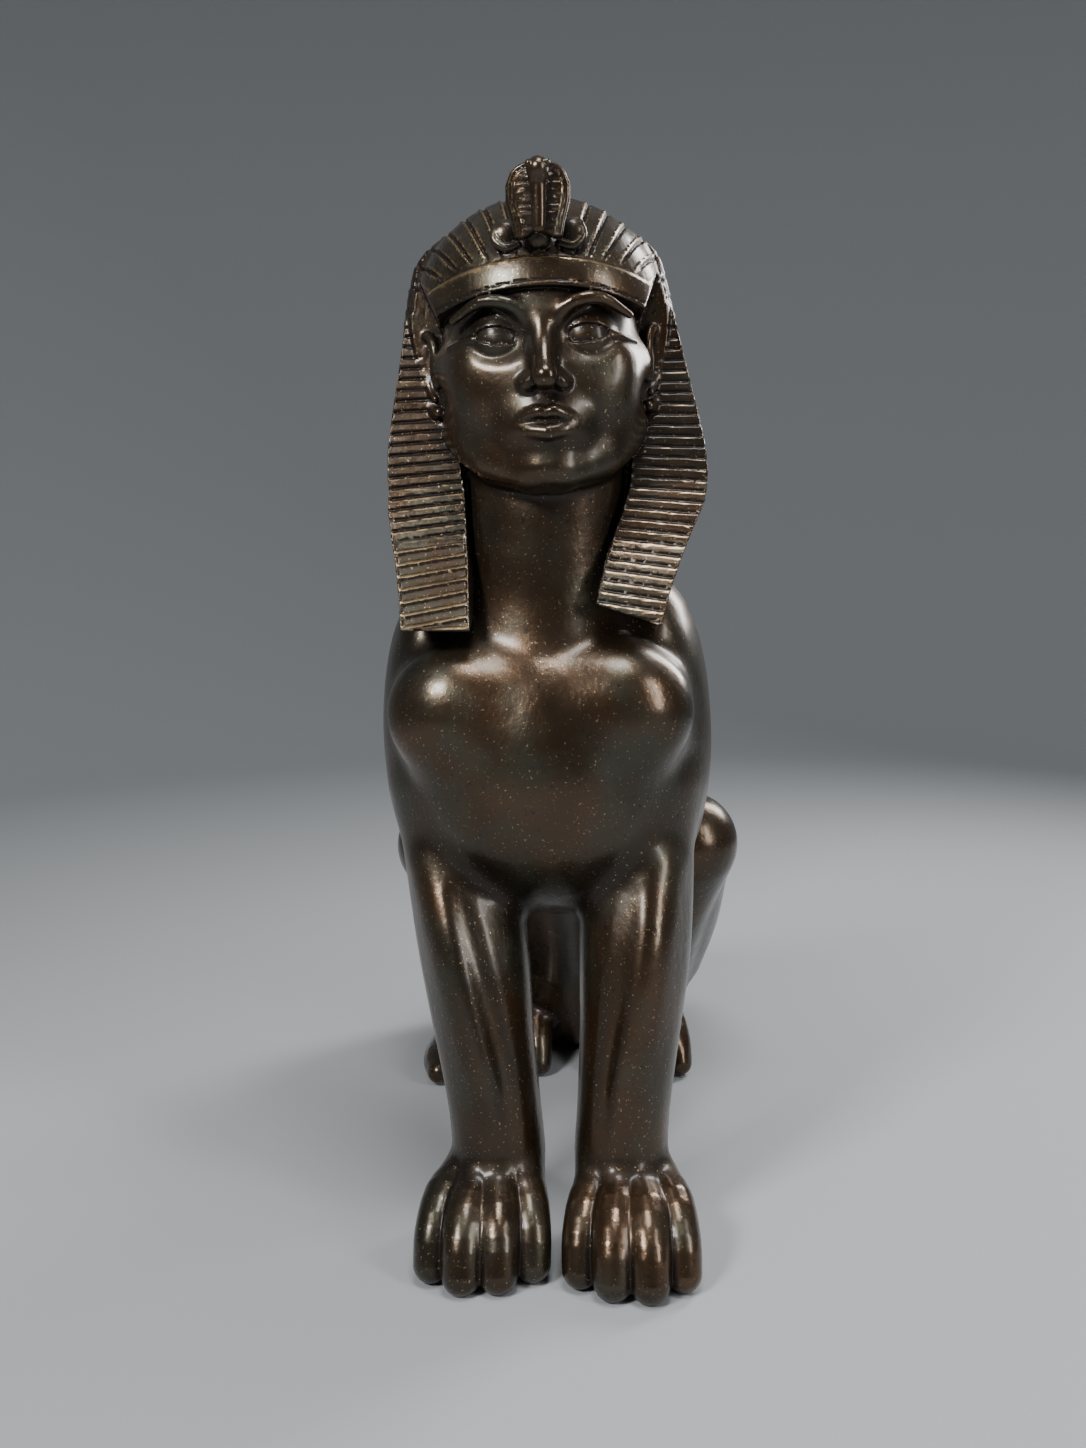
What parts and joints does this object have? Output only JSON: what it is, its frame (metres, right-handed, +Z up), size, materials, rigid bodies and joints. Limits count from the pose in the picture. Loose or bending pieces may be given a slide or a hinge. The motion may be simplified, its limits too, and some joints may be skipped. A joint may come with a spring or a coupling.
{
  "type": "sphinx statue",
  "caption": "Seated bronze sphinx with a lion's body, straight forelegs, a woman's breasts and head, a striped nemes headcloth and a rearing cobra at the brow.",
  "frame": {"origin": "middle of the footprint, on the surface the sphinx stands on", "axes": "+Z up, the sphinx faces -Y, +X to the right of someone facing it"},
  "size_m": [0.1976, 0.3666, 0.4722],
  "materials": {
    "bronze": "cast and chased bronze with a dark brown patina, rubbed lighter on the edges"
  },
  "bodies": {
    "root": {"sphinx": "bronze"}
  },
  "joints": []
}
